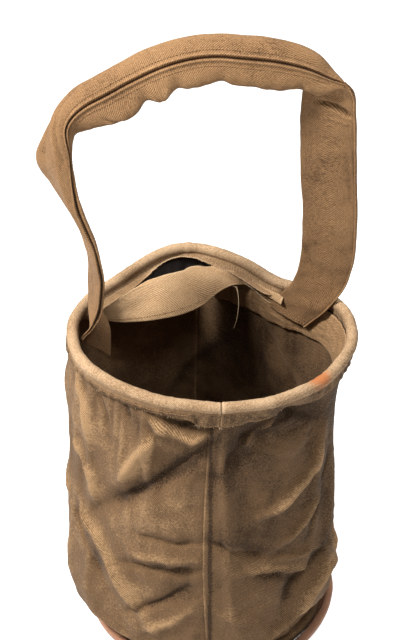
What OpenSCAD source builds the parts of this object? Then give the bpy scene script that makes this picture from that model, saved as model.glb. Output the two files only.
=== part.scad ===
// Canvas mail sack: a round cloth bucket with a corded rim, an inner facing band that hangs
// loose at the back, a bound flat base and one shoulder strap sewn inside the rim.
// Millimetres. The origin is the centre of the base, on the surface that the sack stands on.
// +X is to the right, +Y to the back and +Z up.

/* [Sack] */
// Height of the rim cord's centre line above the base
sack_h = 360; // [300:1:440]
// Width of the mouth, left to right, on the rim cord's centre line
mouth_w = 280; // [233:1:340]
// Depth of the mouth, front to back, without its peak
mouth_d = 236; // [196:1:290]
// How far the back of the rim is drawn out into a peak
peak = 25; // [10:1:35]
// How far the strap draws the rim in at the back right
dip = 20; // [0:1:24]
// How far the wall swells out at half its height
belly = 8; // [0:1:16]
// How far the wall leans to the left at half its height
lean = 8; // [0:1:12]
// Thickness of the canvas
canvas_t = 1.6; // [1:0.1:2]
// Width of the laps where the two panels are felled together
lap_w = 10; // [6:1:16]

/* [Base] */
// Diameter of the wall where it turns out into the base seam
base_d = 254; // [212:1:306]
// Width of the base seam that the binding covers
seam_w = 9; // [6:0.5:14]
// Thickness of the woven tape that binds the base seam
tape_t = 1.2; // [0.8:0.1:2]

/* [Rim] */
// Diameter of the cord in the rim
cord_d = 8; // [5:0.5:11]
// Depth of the hem that the casing makes on the outside, below the cord's centre line
hem_depth = 23; // [18:1:34]
// Depth of the casing's edge on the inside, below the cord's centre line
turn_depth = 14; // [12:1:20]

/* [Facing] */
// Depth of the inner facing band below the rim cord's centre line
facing_depth = 52; // [40:1:70]
// Width of the loose stretch of the band, from its top edge to its hem
flap_w = 46; // [36:1:56]
// Thickness of the grey lining behind the band
lining_t = 0.8; // [0.5:0.1:1.2]

/* [Strap] */
// Width of the flat strap
strap_w = 52; // [43:1:63]
// Thickness of the flat strap, two layers of canvas with their edges turned in
strap_t = 5; // [4:0.2:6]
// Height of the grip's centre line above the rim
strap_rise = 292; // [243:1:350]
// Height of the strap's section where it opens out into the grip
grip_w = 45; // [37:1:54]
// Thickness of the strap's section where it opens out into the grip
grip_t = 16; // [12:1:22]

/* [Sewing] */
// Diameter of the sewing thread
thread_d = 0.9; // [0.6:0.1:1.2]
// Length of one stitch
stitch_l = 6; // [4:0.5:8]

/* [Hidden] */

gap = 0.2;                     // clearance between layers of cloth sewn together
step = 5;                      // angle between sections round the sack
front_seam = -93;              // angle of the front seam
back_seam = front_seam + 180;  // angle of the back seam
casing_join = -86;             // angle of the join in the rim casing
join = 0.1;                    // half the angle between the two ends of a strip that closes on itself
facing_from = front_seam + 52 * step;
facing_to = front_seam + 98 * step;
lining_from = front_seam + 31 * step;
lining_to = front_seam + 47 * step;
peak_at = 103;                 // angle of the peak at the back of the rim
peak_spread = 16;
dip_at = 45;                   // angle at which the strap draws the rim in
dip_spread = 20;

roll_turn = 40;                           // angle between the casing's points round the cord
corner = 1 / cos(roll_turn / 2);          // keeps the flats of the roll clear of the cord
cord_r = cord_d / 2;
bore_r = (cord_r + gap) * corner;         // inside of the casing round the cord
roll_r = bore_r + canvas_t;               // outside of the casing round the cord
half_t = canvas_t / 2;
raised = canvas_t + gap;                  // how far a lap stands out over the panel below it
hem_in = half_t + raised + gap;           // the casing's outer leaf, from the wall's middle
hem_out = hem_in + canvas_t;
turn_in = half_t + gap;                   // the casing's inner leaf, from the wall's middle
turn_out = turn_in + canvas_t;
facing_out = turn_out + gap;              // the facing's top, from the wall's middle
leaf_z = sack_h - bore_r - 6;             // where the casing's two leaves start to run flat
wall_top = sack_h - bore_r - canvas_t;    // upper edge of the two body panels
facing_top = leaf_z - gap;
lap_a = lap_w / (base_d / 2) * 180 / PI;  // angle that a lap takes up
ease_a = 1.5;                             // angle over which a panel rises to its lap

seam_r = base_d / 2 + seam_w;             // outer edge of the seam inside the binding
seam_z = tape_t + gap;                    // underside of the base panel's edge
flange_z = seam_z + canvas_t + gap;       // underside of the wall's turned-out edge
turn_z = flange_z + canvas_t;             // where the wall turns out
binding_h = turn_z + raised + gap + tape_t;
base_r = base_d / 2 - half_t - gap;       // where the base panel drops to the floor
base_slope = 2;
swell = (belly + lean) * sin(180 * binding_h / sack_h);
tape_r = base_d / 2 + half_t + raised + gap + swell;  // upper inner edge of the binding

flap_z = sack_h - 9;                                // height of the line that the loose facing turns on
flap_x = [-0.61 * mouth_w / 2, 0.43 * mouth_w / 2]; // left and right ends of its free stretch
flap_ends_y = 0.56 * mouth_d / 2;                   // how far back its ends are
flap_bow = 0.37 * mouth_d / 2;                      // how much further back its middle is
flap_pitch = 34;                                    // how steeply it hangs forward

canvas = "#8a6f50";
dark_canvas = "#6f563b";
worn_canvas = "#ab8862";
pale_canvas = "#c8a17a";
tape = "#96684c";
grey = "#5b4f43";
thread = "#5a3c22";
cord = "#b9a482";

// Outlines

// A smooth hump of height 1 round the angle centre
function hump(a, centre, width) =
    let (d = (a - centre + 900) % 360 - 180)
    exp(-d * d / (2 * width * width));

// Distance of the rim cord from the sack's axis at angle a
function mouth_r(a) =
    let (rx = mouth_w / 2, ry = mouth_d / 2)
    rx * ry / norm([ry * cos(a), rx * sin(a)])
    + peak * hump(a, peak_at, peak_spread) - dip * hump(a, dip_at, dip_spread);

// A point of the wall's middle surface, moved outwards by out
function wall(a, z, out) =
    let (
        s = z / sack_h,
        k = pow(max(s, 0), 1.5),
        r = base_d / 2 * (1 - k) + mouth_r(a) * k + belly * sin(180 * s) + out
    )
    [r * cos(a) - lean * sin(180 * s), r * sin(a), z];

function ring(a, r, z) = [r * cos(a), r * sin(a), z];

// A point beside the rim cord's centre line, at angle turn round the cord
function round_cord(a, r, turn) = wall(a, sack_h, r * cos(turn)) + [0, 0, r * sin(turn)];

// The angles from one to another, in the steps that every layer of the sack shares
function angles(from, to) = [for (i = [0:round((to - from) / step)]) from + i * step];

function unit(v) = v / norm(v);

function reversed(list) = [for (i = [len(list) - 1:-1:0]) list[i]];

// One section of a layer of cloth, from the outlines of its two faces
function layer(outer, inner) = concat(outer, reversed(inner));

// A value between the stations of a list, on a smooth curve through them
function along(list, at) =
    let (
        n = len(list) - 1,
        i = min(floor(at), n - 1),
        u = at - i,
        a = list[max(i - 1, 0)],
        b = list[i],
        c = list[i + 1],
        d = list[min(i + 2, n)]
    )
    (2 * b + (c - a) * u + (2 * a - 5 * b + 4 * c - d) * u * u + (3 * b - a - 3 * c + d) * u * u * u) / 2;

// The strap's stations: [middle, the way its width runs, half its width, half its thickness]

w = strap_w / 2;
t = strap_t / 2;
g = grip_w / 2;
h = grip_t / 2;
free_z = 0.04;         // where the strap is free to bend, in strap rises above the rim
free_gap = 0.013;      // half the space left there for the bend
slack = 1.5;           // how far the strap's ends stand off the rim casing
left_foot_a = 178;     // where the strap's two ends cross the rim
right_foot_a = 26;

// A free point of the strap, in half mouth widths, half mouth depths and strap rises above the rim
function aloft(x, y, z) = [x * mouth_w / 2, y * mouth_d / 2, sack_h + z * strap_rise];

// A station on the inside of the rim. The strap is straight across its width, so a wide one
// stands further off the round wall.
function station_in(a, z, half_w, side) =
    let (out = roll_r + slack + t + half_w * half_w / mouth_w)
    [wall(a, z, -out), side * unit(wall(a + 1, z, -out) - wall(a - 1, z, -out)), half_w, t];

function pivot(a) = wall(a, sack_h + free_z * strap_rise, -roll_r - slack - t);

bend = [0, 0, free_gap * strap_rise];
left_end = [
    station_in(left_foot_a - 3, sack_h - 44, w, 1),
    station_in(left_foot_a - 2, sack_h - 24, w, 1),
    station_in(left_foot_a - 1, sack_h - 6, w * 0.7, 1),
    [pivot(left_foot_a) - bend, [-0.2, -0.98, 0], w * 0.2, t]
];
left_leg = [
    [pivot(left_foot_a) + bend, [0, -1, 0], w * 0.2, t],
    [aloft(-0.835, 0.05, 0.15), [0.3, -0.95, 0], w * 0.85, t],
    [aloft(-0.84, 0.05, 0.27), [0.3, -0.95, 0], w, t],
    [aloft(-0.89, 0.07, 0.42), [0.35, -0.93, 0], w, t],
    [aloft(-1, 0.09, 0.53), [0.5, -0.85, 0], w, t * 1.4],
    [aloft(-1.06, 0.11, 0.65), [0.65, -0.75, 0], w, t * 1.8],
    [aloft(-1.04, 0.13, 0.74), [0.6, -0.75, 0.2], w, t * 1.8],
    [aloft(-0.975, 0.13, 0.805), [0.4, -0.65, 0.65], w * 0.85, t * 1.4]
];
grip = [
    [aloft(-0.965, 0.13, 0.8), [-0.1, 0.55, 0.8], g * 0.8, h * 0.6],
    [aloft(-0.8, 0.13, 0.856), [-0.1, 0.6, 0.8], g, h],
    [aloft(-0.6, 0.13, 0.911), [-0.1, 0.6, 0.8], g, h],
    [aloft(-0.4, 0.13, 0.957), [-0.1, 0.6, 0.8], g, h],
    [aloft(-0.14, 0.13, 0.997), [0, 0.6, 0.8], g, h],
    [aloft(0.02, 0.13, 1), [0, 0.6, 0.8], g, h],
    [aloft(0.24, 0.13, 0.997), [0, 0.6, 0.8], g, h],
    [aloft(0.5, 0.13, 0.978), [0.1, 0.6, 0.8], g, h],
    [aloft(0.64, 0.13, 0.964), [0.15, 0.6, 0.8], g * 0.9, h],
    [aloft(0.8, 0.13, 0.925), [0.3, 0.6, 0.75], g * 0.5, h * 0.7],
    [aloft(0.88, 0.13, 0.905), [0.35, 0.6, 0.7], g * 0.25, h * 0.4]
];
right_leg = [
    [pivot(right_foot_a) + bend, [0.98, 0.2, 0], w * 0.4, t],
    [aloft(0.78, 0.38, 0.12), [0.97, -0.15, 0], w * 0.85, t],
    [aloft(0.81, 0.36, 0.24), [0.94, -0.34, 0], w, t],
    [aloft(0.8, 0.29, 0.42), [0.93, -0.36, 0], w, t],
    [aloft(0.78, 0.23, 0.6), [0.92, -0.4, 0], w, t],
    [aloft(0.765, 0.17, 0.76), [0.9, -0.44, 0], w, t],
    [aloft(0.755, 0.13, 0.898), [0.88, -0.48, 0], w, t]
];
right_end = [
    station_in(right_foot_a + 14, sack_h - 34, w, -1),
    station_in(right_foot_a + 9, sack_h - 18, w, -1),
    station_in(right_foot_a + 3, sack_h, w * 0.7, -1),
    [pivot(right_foot_a) - bend, [0.98, -0.2, 0], w * 0.35, t]
];

function strap_middle(stations, at) = along([for (s = stations) s[0]], max(0, min(at, len(stations) - 1)));

// A point of the strap: across and through count in half widths and half thicknesses
function strap_point(stations, at, across, through) =
    let (
        d = 0.05,
        ahead = unit(strap_middle(stations, at + d) - strap_middle(stations, at - d)),
        side = along([for (s = stations) s[1]], at),
        u = unit(side - (side * ahead) * ahead),
        v = cross(ahead, u),
        half_w = along([for (s = stations) s[2]], at),
        half_h = along([for (s = stations) s[3]], at)
    )
    strap_middle(stations, at) + across * half_w * u + through * half_h * v;

// A closed solid from sections with the same even number of points. Point i of a section lies
// opposite the i-th point from its end, so a strip of faces closes each end.
module sewn(rows) {
    m = len(rows[0]);
    end = (len(rows) - 1) * m;
    sides = [
        for (p = [0:m:end - m], j = [0:m - 1])
            let (k = (j + 1) % m, q = p + m)
            each [[p + j, q + j, q + k], [p + j, q + k, p + k]]
    ];
    first = [for (j = [0:m / 2 - 2]) each [[j, j + 1, m - 2 - j], [j, m - 2 - j, m - 1 - j]]];
    last = [for (f = first) [end + f[0], end + f[2], end + f[1]]];
    polyhedron(points = [for (row = rows) each row], faces = concat(sides, first, last), convexity = 8);
}

// One stitch: a straight bit of thread between two points
module stitch(from, to) {
    v = to - from;
    translate(from)
        rotate([0, acos(v.z / norm(v)), atan2(v.y, v.x)])
            cylinder(h = norm(v), d = thread_d, $fn = 16);
}

// Sack

// The wall's section at angle a, moved out by raise where one panel laps over the other. Its
// foot turns out into the base seam.
function wall_row(a, raise = 0) =
    let (
        levels = 12,
        foot = turn_z + raise,
        heights = [for (i = [0:levels]) foot + (wall_top - foot) * i / levels]
    )
    layer(
        concat([ring(a, seam_r, foot)], [for (z = heights) wall(a, z, half_t + raise)]),
        concat(
            [ring(a, seam_r, foot - canvas_t)],
            [for (z = heights) wall(a, z == foot ? z - canvas_t : z, raise - half_t)]
        )
    );

module body_panel_left() {
    color(canvas)
        sewn([for (a = angles(back_seam, front_seam + 360)) wall_row(a)]);
}

// The right panel laps over the left one at both seams.
module body_panel_right() {
    lapped = concat(
        [for (a = [front_seam - lap_a, front_seam]) wall_row(a, raised)],
        [wall_row(front_seam + ease_a)],
        [for (a = angles(front_seam + step, back_seam - step)) wall_row(a)],
        [wall_row(back_seam - ease_a)],
        [for (a = [back_seam, back_seam + lap_a]) wall_row(a, raised)]
    );
    color(dark_canvas)
        sewn(lapped);
}

module base_panel() {
    edge = seam_z + canvas_t;
    color(canvas)
        rotate_extrude($fn = 120)
            polygon([
                [0, 0], [base_r - base_slope, 0], [base_r, seam_z], [seam_r, seam_z], [seam_r, edge],
                [base_r - half_t, edge], [base_r - base_slope - half_t, canvas_t], [0, canvas_t]
            ]);
}

// A woven tape folded round the base seam
module base_binding() {
    lip = seam_r + gap;
    foot_r = base_r + gap + 1;
    color(tape)
        rotate_extrude($fn = 120)
            polygon([
                [foot_r, 0], [lip + tape_t - 1, 0], [lip + tape_t, 1],
                [lip + tape_t, binding_h - 1], [lip + tape_t - 1, binding_h], [tape_r, binding_h],
                [tape_r, binding_h - tape_t], [lip, binding_h - tape_t], [lip, tape_t], [foot_r, tape_t]
            ]);
}

module base_stitching() {
    r = (tape_r + seam_r) / 2;
    turn = stitch_l / r * 180 / PI;
    color(thread)
        for (a = angles(front_seam, front_seam + 360 - step))
            stitch(ring(a, r, binding_h), ring(a + turn, r, binding_h));
}

module rim_cord() {
    sides = 8;
    ends = [back_seam + join, back_seam + 360 - join];
    turns = concat([ends[0]], angles(back_seam + step, back_seam + 360 - step), [ends[1]]);
    color(cord)
        sewn([
            for (a = turns)
                [for (i = [0:sides - 1]) round_cord(a, cord_r, 360 * (i + 0.5) / sides)]
        ]);
}

// The casing's section: hem outside, roll over the cord, turned edge inside
function casing_face(a, hem, r, turn) =
    concat(
        [wall(a, sack_h - hem_depth, hem), wall(a, leaf_z, hem)],
        [for (i = [0:6]) round_cord(a, r, -30 + roll_turn * i)],
        [wall(a, leaf_z, -turn), wall(a, sack_h - turn_depth, -turn)]
    );

module rim_casing() {
    first_step = front_seam + 2 * step;
    turns = concat(
        [casing_join + join],
        angles(first_step, first_step + 360 - step),
        [casing_join + 360 - join]
    );
    color(pale_canvas)
        sewn([
            for (a = turns)
                layer(casing_face(a, hem_out, roll_r, turn_out), casing_face(a, hem_in, bore_r, turn_in))
        ]);
}

// A row of stitches round the sack on a face that lies out from the wall's middle
module wall_stitches(from, to, z, out) {
    color(thread)
        for (a = angles(from, to))
            let (turn = stitch_l / norm(wall(a, z, out)) * 180 / PI)
                stitch(wall(a, z, out), wall(a + turn, z, out));
}

module rim_stitching() {
    wall_stitches(casing_join + 2, casing_join + 360 - step, leaf_z - 1, hem_out);
}

module hem_stitching() {
    wall_stitches(casing_join + 2, casing_join + 360 - step, sack_h - hem_depth + 3, hem_out);
}

// The facing leaves the wall towards the rim, where the casing's edge lies behind it.
function facing_face(a, in) =
    [
        wall(a, facing_top, -facing_out - in),
        wall(a, sack_h - turn_depth - 2, -facing_out - in),
        wall(a, sack_h - facing_depth + 12, -turn_in - in),
        wall(a, sack_h - facing_depth, -turn_in - in)
    ];

module inner_facing() {
    color(worn_canvas)
        sewn([
            for (a = angles(facing_from, facing_to))
                layer(facing_face(a, 0), facing_face(a, canvas_t))
        ]);
}

module facing_stitching() {
    wall_stitches(facing_from, facing_to - step, sack_h - facing_depth + 4, -turn_in - canvas_t);
}

module back_lining() {
    top = sack_h - turn_depth - 2;
    foot = sack_h - facing_depth - 8;
    face = function (a, out) [for (z = [top, (top + foot) / 2, foot]) wall(a, z, out)];
    color(grey)
        sewn([
            for (a = angles(lining_from, lining_to))
                layer(face(a, -turn_in), face(a, -turn_in - lining_t))
        ]);
}

// Stitches up the middle of a lap
module lap_stitches(a) {
    out = half_t + raised;
    pitch = stitch_l * 1.6;
    color(thread)
        for (z = [binding_h + 6:pitch:sack_h - hem_depth - stitch_l - 2])
            stitch(wall(a, z, out), wall(a, z + stitch_l, out));
}

module front_seam_stitching() {
    lap_stitches(front_seam - lap_a / 2);
}

module back_seam_stitching() {
    lap_stitches(back_seam + lap_a / 2);
}

// Loose facing

// A point of the loose facing: u runs from left to right, v from its top edge to its hem
function flap_point(u, v, lift) =
    let (
        x = flap_x[0] + (flap_x[1] - flap_x[0]) * u,
        top_y = flap_ends_y + flap_bow * sqrt(sin(180 * u)),
        width = flap_w * (0.6 + 0.4 * sin(180 * min(1, u + 0.15)))
    )
    [
        x,
        top_y - width * v * cos(flap_pitch) - lift * sin(flap_pitch),
        flap_z - width * v * sin(flap_pitch) + lift * cos(flap_pitch)
    ];

module loose_facing() {
    rings = 20;
    face = function (u, lift) [for (v = [0, 0.5, 1]) flap_point(u, v, lift)];
    color(worn_canvas)
        sewn([
            for (i = [0:rings])
                layer(face(i / rings, half_t), face(i / rings, -half_t))
        ]);
}

module loose_facing_stitching() {
    count = 14;
    color(thread)
        for (i = [1:count])
            let (u = i / (count + 2), du = stitch_l / (flap_x[1] - flap_x[0]))
                stitch(flap_point(u, 0.9, half_t), flap_point(u + du, 0.9, half_t));
}

// Strap

module strap_piece(stations, rings) {
    sides = 12;
    color(canvas)
        sewn([
            for (i = [0:rings])
                [
                    for (j = [0:sides - 1])
                        let (a = 360 * (j + 0.5) / sides)
                            strap_point(stations, (len(stations) - 1) * i / rings, cos(a), sin(a))
                ]
        ]);
}

module strap_end_left() {
    strap_piece(left_end, 8);
}

module strap_end_right() {
    strap_piece(right_end, 8);
}

module strap_leg_left() {
    strap_piece(left_leg, 24);
}

module strap_leg_right() {
    strap_piece(right_leg, 20);
}

module strap_grip() {
    strap_piece(grip, 30);
}

// Two rows of stitches across the sewn end of the strap, on the face towards the mouth
module end_stitches(stations, side) {
    count = 5;
    color(thread)
        for (row = [0.15, 0.45], i = [0:count - 1])
            let (from = -0.7 + 1.4 * i / count, to = from + stitch_l / w)
                stitch(
                    strap_point(stations, row, from, side * sqrt(1 - from * from)),
                    strap_point(stations, row, to, side * sqrt(1 - to * to))
                );
}

module strap_end_stitching_left() {
    end_stitches(left_end, -1);
}

module strap_end_stitching_right() {
    end_stitches(right_end, -1);
}

// Stitches along a strap piece, at one place of its section
module edge_stitches(stations, count, across, side) {
    through = side * sqrt(1 - across * across);
    n = len(stations) - 1;
    for (i = [1:count - 2])
        let (
            a = strap_point(stations, n * i / count, across, through),
            b = strap_point(stations, n * (i + 0.7) / count, across, through)
        )
            stitch(a, b);
}

module strap_edge_stitching() {
    color(thread) {
        edge_stitches(left_leg, 26, 0.8, -1);
        edge_stitches(grip, 36, 0, 1);
        edge_stitches(right_leg, 28, 0.8, -1);
    }
}

body_panel_left();
body_panel_right();
base_panel();
base_binding();
rim_cord();
rim_casing();
inner_facing();
back_lining();
strap_end_left();
strap_end_right();
strap_leg_left();
strap_leg_right();
strap_grip();
loose_facing();
rim_stitching();
hem_stitching();
facing_stitching();
front_seam_stitching();
back_seam_stitching();
base_stitching();
strap_end_stitching_left();
strap_end_stitching_right();
strap_edge_stitching();
loose_facing_stitching();
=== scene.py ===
import math

import bmesh
import bpy
from mathutils import Matrix, Vector, noise


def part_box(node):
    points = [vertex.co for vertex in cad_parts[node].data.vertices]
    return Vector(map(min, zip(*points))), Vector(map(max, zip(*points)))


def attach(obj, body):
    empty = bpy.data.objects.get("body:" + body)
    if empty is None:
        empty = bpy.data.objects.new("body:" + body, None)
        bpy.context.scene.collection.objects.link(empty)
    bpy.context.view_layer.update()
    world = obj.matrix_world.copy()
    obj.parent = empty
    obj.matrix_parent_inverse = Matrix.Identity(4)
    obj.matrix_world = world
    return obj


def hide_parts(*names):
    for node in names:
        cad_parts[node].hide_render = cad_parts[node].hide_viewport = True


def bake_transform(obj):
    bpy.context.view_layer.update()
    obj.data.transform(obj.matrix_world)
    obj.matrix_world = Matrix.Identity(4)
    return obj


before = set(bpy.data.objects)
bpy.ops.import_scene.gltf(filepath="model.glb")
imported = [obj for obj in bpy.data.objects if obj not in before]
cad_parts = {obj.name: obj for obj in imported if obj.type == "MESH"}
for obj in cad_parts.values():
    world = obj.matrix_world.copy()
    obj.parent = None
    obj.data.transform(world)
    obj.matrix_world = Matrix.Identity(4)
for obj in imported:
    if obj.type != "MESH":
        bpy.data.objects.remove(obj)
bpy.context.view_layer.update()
up = Vector((0, 0, 1))
print("frame loaded:", len(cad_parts), "nodes")

# shared measures: metres, and degrees counted from the right through the back
cordLo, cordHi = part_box("rim_cord")
sack = {
    "rimZ": (cordLo[2] + cordHi[2]) / 2,  # height of the cord's middle
    "cordR": 0.004,
    "rollR": 0.0059,          # the casing's roll over the cord
    "mouthWide": 0.280,
    "mouthDeep": 0.236,
    "peak": (0.025, 103, 16),  # how far the mouth bulges at the back, angle and spread
    "dip": (-0.020, 47, 15),   # and how far the strap draws it in
    "baseR": 0.127,
    "belly": 0.008,           # the wall's swell at mid height
    "lean": 0.008,            # and its lean to the left there
    "clothT": 0.0016,
    "clothTop": 0.3525,       # pieces sewn to the wall go no higher than this
    "frontSeam": -86.4,
    "seed": 7,
}


def hump(x, centre, width):
    d = (x - centre) / width
    return math.exp(-d * d / 2)


def turnHump(a, centre, width):
    return hump((a - centre + 180) % 360 - 180, 0, width)


def mix(a, b, t):
    return a + (b - a) * t


def smooth(lo, hi, x):
    t = min(1, max(0, (x - lo) / (hi - lo)))
    return t * t * (3 - 2 * t)


def wobble(x, y, z, scale=1.0, kind=0):
    # smooth noise; each kind is another part of the same field
    across, along = x * scale + 11.3 * kind, y * scale - 4.7 * kind
    return noise.noise(Vector((across, along, z * scale + sack["seed"])))


def roundWobble(a, height, scale, kind=0):
    # the same noise round the sack, so that it closes on itself
    x = math.radians(a)
    return wobble(math.cos(x), math.sin(x), height, scale, kind)


def between(a, b, c, d, u):
    # a smooth step from b to c that takes its slopes from their neighbours
    slope = (c - a) * u
    return (2 * b + slope + (2 * a - 5 * b + 4 * c - d) * u * u + (3 * b - a - 3 * c + d) * u**3) / 2


def mouthRadius(a):
    rx, ry = sack["mouthWide"] / 2, sack["mouthDeep"] / 2
    c, s = math.cos(math.radians(a)), math.sin(math.radians(a))
    r = rx * ry / math.hypot(ry * c, rx * s)
    return r + sum(h * turnHump(a, at, w) for h, at, w in (sack["peak"], sack["dip"]))


def plainWall(a, z, out=0.0):
    s = z / sack["rimZ"]
    k = max(s, 0) ** 1.5
    swell = math.sin(math.pi * s)
    r = mix(sack["baseR"], mouthRadius(a), k) + sack["belly"] * swell + out
    c, n = math.cos(math.radians(a)), math.sin(math.radians(a))
    return Vector((r * c - sack["lean"] * swell, r * n, z))


class Val:
    # a shader socket that takes part in sums
    def __init__(self, graph, socket):
        self.graph, self.socket = graph, socket

    def maths(self, operation, other=None, swap=False):
        values = [self] if other is None else ([other, self] if swap else [self, other])
        return self.graph.add("ShaderNodeMath", {"operation": operation}, dict(enumerate(values)))

    def __add__(self, other):
        return self.maths("ADD", other)

    def __radd__(self, other):
        return self.maths("ADD", other)

    def __sub__(self, other):
        return self.maths("SUBTRACT", other)

    def __rsub__(self, other):
        return self.maths("SUBTRACT", other, True)

    def __mul__(self, other):
        return self.maths("MULTIPLY", other)

    def __rmul__(self, other):
        return self.maths("MULTIPLY", other)

    def __truediv__(self, other):
        return self.maths("DIVIDE", other)

    def sin(self):
        return self.maths("SINE")

    def abs(self):
        return self.maths("ABSOLUTE")

    def clip(self):
        return self.graph.add("ShaderNodeClamp", {}, {0: self})

    def step(self, lo, hi):
        # 0 below lo, 1 above hi, smooth between
        values = {"Value": self, "From Min": lo, "From Max": hi}
        return self.graph.add("ShaderNodeMapRange", {"interpolation_type": "SMOOTHSTEP"}, values)


class Graph:
    # a new material with one principled shader
    def __init__(self, name):
        self.material = bpy.data.materials.new(name)
        self.material.use_nodes = True
        self.tree = self.material.node_tree
        self.tree.nodes.clear()
        self.shader = self.tree.nodes.new("ShaderNodeBsdfPrincipled")
        output = self.tree.nodes.new("ShaderNodeOutputMaterial")
        self.tree.links.new(self.shader.outputs["BSDF"], output.inputs["Surface"])

    def put(self, socket, value):
        if isinstance(value, Val):
            self.tree.links.new(value.socket, socket)
        elif isinstance(value, (tuple, list)) and len(value) == 3 and socket.type == "RGBA":
            socket.default_value = (*value, 1)
        else:
            socket.default_value = value

    def add(self, kind, settings, values, out=0):
        node = self.tree.nodes.new(kind)
        for key, value in settings.items():
            setattr(node, key, value)
        for key, value in values.items():
            self.put(node.inputs[key], value)
        return Val(self, node.outputs[out])

    def mixColours(self, a, b, t, blend="MIX"):
        settings = {"data_type": "RGBA", "blend_type": blend}
        return self.add("ShaderNodeMix", settings, {0: t, 6: a, 7: b}, 2)

    def noise(self, where, scale, detail=3, rough=0.55):
        values = {"Vector": where, "Scale": scale, "Detail": detail, "Roughness": rough}
        return self.add("ShaderNodeTexNoise", {}, values)

    def bump(self, strength, height):
        values = {"Strength": strength, "Distance": 1.0, "Height": height}
        return self.add("ShaderNodeBump", {}, values)

    def clothPlace(self):
        # the cloth's own place in metres, along and across, and its place in space
        uv = self.add("ShaderNodeUVMap", {"uv_map": "cloth"}, {})
        u, v = (self.add("ShaderNodeSeparateXYZ", {}, {0: uv}, k) for k in (0, 1))
        return uv, u, v, self.place()

    def place(self):
        return self.add("ShaderNodeTexCoord", {}, {}, 3)

    def wearAndShade(self):
        # the vertex value of wear on ridges and painted shade in creases
        return self.add("ShaderNodeAttribute", {"attribute_name": "wearAndShade"}, {}, 2)

    def set(self, **sockets):
        for key, value in sockets.items():
            self.put(self.shader.inputs[key.replace("_", " ")], value)


def linear(*rgb):
    # a display colour from 0 to 255 as linear light
    return tuple((c / 255 / 12.92) if c < 11 else ((c / 255 + 0.055) / 1.055) ** 2.4 for c in rgb)


twill = {
    "pitch": 0.0019,   # between the diagonal lines
    "slope": 0.8,
    "depth": 0.00032,
    "sheen": 0.03,
    "shadow": (34, 22, 12),   # between the ribs
    # painted shade in the seam's groove
    "grooveShade": (50, 32, 16),   # along a sewn edge
}


def twillCloth(name, dark, mid, pale, stain=None, seamShade=(), wearAndShadeShift=0.0):
    g = Graph(name)
    uv, u, v, here = g.clothPlace()
    slub = g.noise(uv, 1100, 2)
    warp = g.noise(uv, 60, 2)
    turn = 2 * math.pi / twill["pitch"]
    ribs = ((u * twill["slope"] + v + warp * 0.0016) * turn).sin() * 0.5 + 0.5
    ribs = (ribs * 0.62 + slub * 0.95 - 0.22).clip()
    broad = g.noise(here, 9, 4, 0.6)
    middle = g.noise(here, 38, 4, 0.65)
    fine = g.noise(uv, 420, 2, 0.7)
    patchy = (middle - 0.5) * 0.55 + (broad - 0.5) * 0.8 + (fine - 0.5) * 0.8
    # the colour runs from dark to pale with the vertex value: wear on ridges, painted shade in creases, and
    # random patches
    wornAndShaded = (g.wearAndShade() + wearAndShadeShift + patchy).clip()
    low = g.mixColours(dark, mid, wornAndShaded.step(0.05, 0.5))
    colour = g.mixColours(low, pale, wornAndShaded.step(0.5, 0.98))
    colour = g.mixColours(colour, linear(*twill["shadow"]), (1 - ribs) * 0.85)
    speck = g.noise(uv, 1300, 1).step(0.58, 0.74)
    colour = g.mixColours(colour, pale, speck * 0.4)
    if stain:
        spot, size, tint, strength = stain
        away = g.add("ShaderNodeVectorMath", {"operation": "DISTANCE"}, {0: here, 1: spot}, 1)
        patch = (1 - (away / size + (middle - 0.5) * 0.9).step(0.35, 1.0)) * strength
        colour = g.mixColours(colour, tint, patch)
    # painted shade: a dark line along each seam's groove
    for at, half, strength in seamShade:
        line = (1 - ((v - at).abs() / half).step(0.3, 1.0)) * strength
        colour = g.mixColours(colour, linear(*twill["grooveShade"]), line)
    height = ribs * twill["depth"] + fine * 0.00025 + middle * 0.0012
    g.set(Base_Color=colour, Roughness=0.92 - wornAndShaded * 0.08, Normal=g.bump(0.9, height))
    g.set(Sheen_Weight=twill["sheen"], Sheen_Roughness=0.5, Specular_IOR_Level=0.15)
    return g.material


tape = {"weftPitch": 0.0014, "chevronPitch": 0.0030}


def tapeCloth(name):
    g = Graph(name)
    uv, u, v, here = g.clothPlace()
    weft = (u * (2 * math.pi / tape["weftPitch"])).sin() * 0.5 + 0.5
    chevron = ((v.abs() * 1.2 + u) * (2 * math.pi / tape["chevronPitch"])).sin() * 0.5 + 0.5
    # the tape runs from dark to pale with wear on ridges, painted shade in creases and random patches
    rubAndShade = (g.wearAndShade() + g.noise(here, 45, 4) * 0.8 - 0.35 + g.noise(uv, 500, 2) * 0.3).clip()
    colour = g.mixColours(linear(112, 66, 44), linear(178, 128, 96), rubAndShade.step(0.15, 0.9))
    colour = g.mixColours(colour, linear(60, 32, 18), (1 - weft) * 0.3 + (1 - chevron) * 0.2)
    height = weft * 0.0002 + chevron * 0.00025 + g.noise(uv, 700, 2) * 0.0002
    g.set(Base_Color=colour, Roughness=0.85, Normal=g.bump(0.8, height), Sheen_Weight=0.15)
    return g.material


def plainCloth(name, dark, pale, pitch=0.0011):
    g = Graph(name)
    uv, u, v, here = g.clothPlace()
    turn = 2 * math.pi / pitch
    weave = ((u * turn).sin() * (v * turn).sin()) * 0.5 + 0.5
    shade = (g.noise(here, 30, 4) * 0.7 + g.noise(uv, 700, 2) * 0.3).clip()
    colour = g.mixColours(dark, pale, shade.step(0.3, 0.75))
    colour = g.mixColours(colour, dark, (1 - weave) * 0.35)
    bump = g.bump(0.6, weave * 0.0002 + shade * 0.0003)
    g.set(Base_Color=colour, Roughness=0.93, Normal=bump, Sheen_Weight=0.2)
    return g.material


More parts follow.
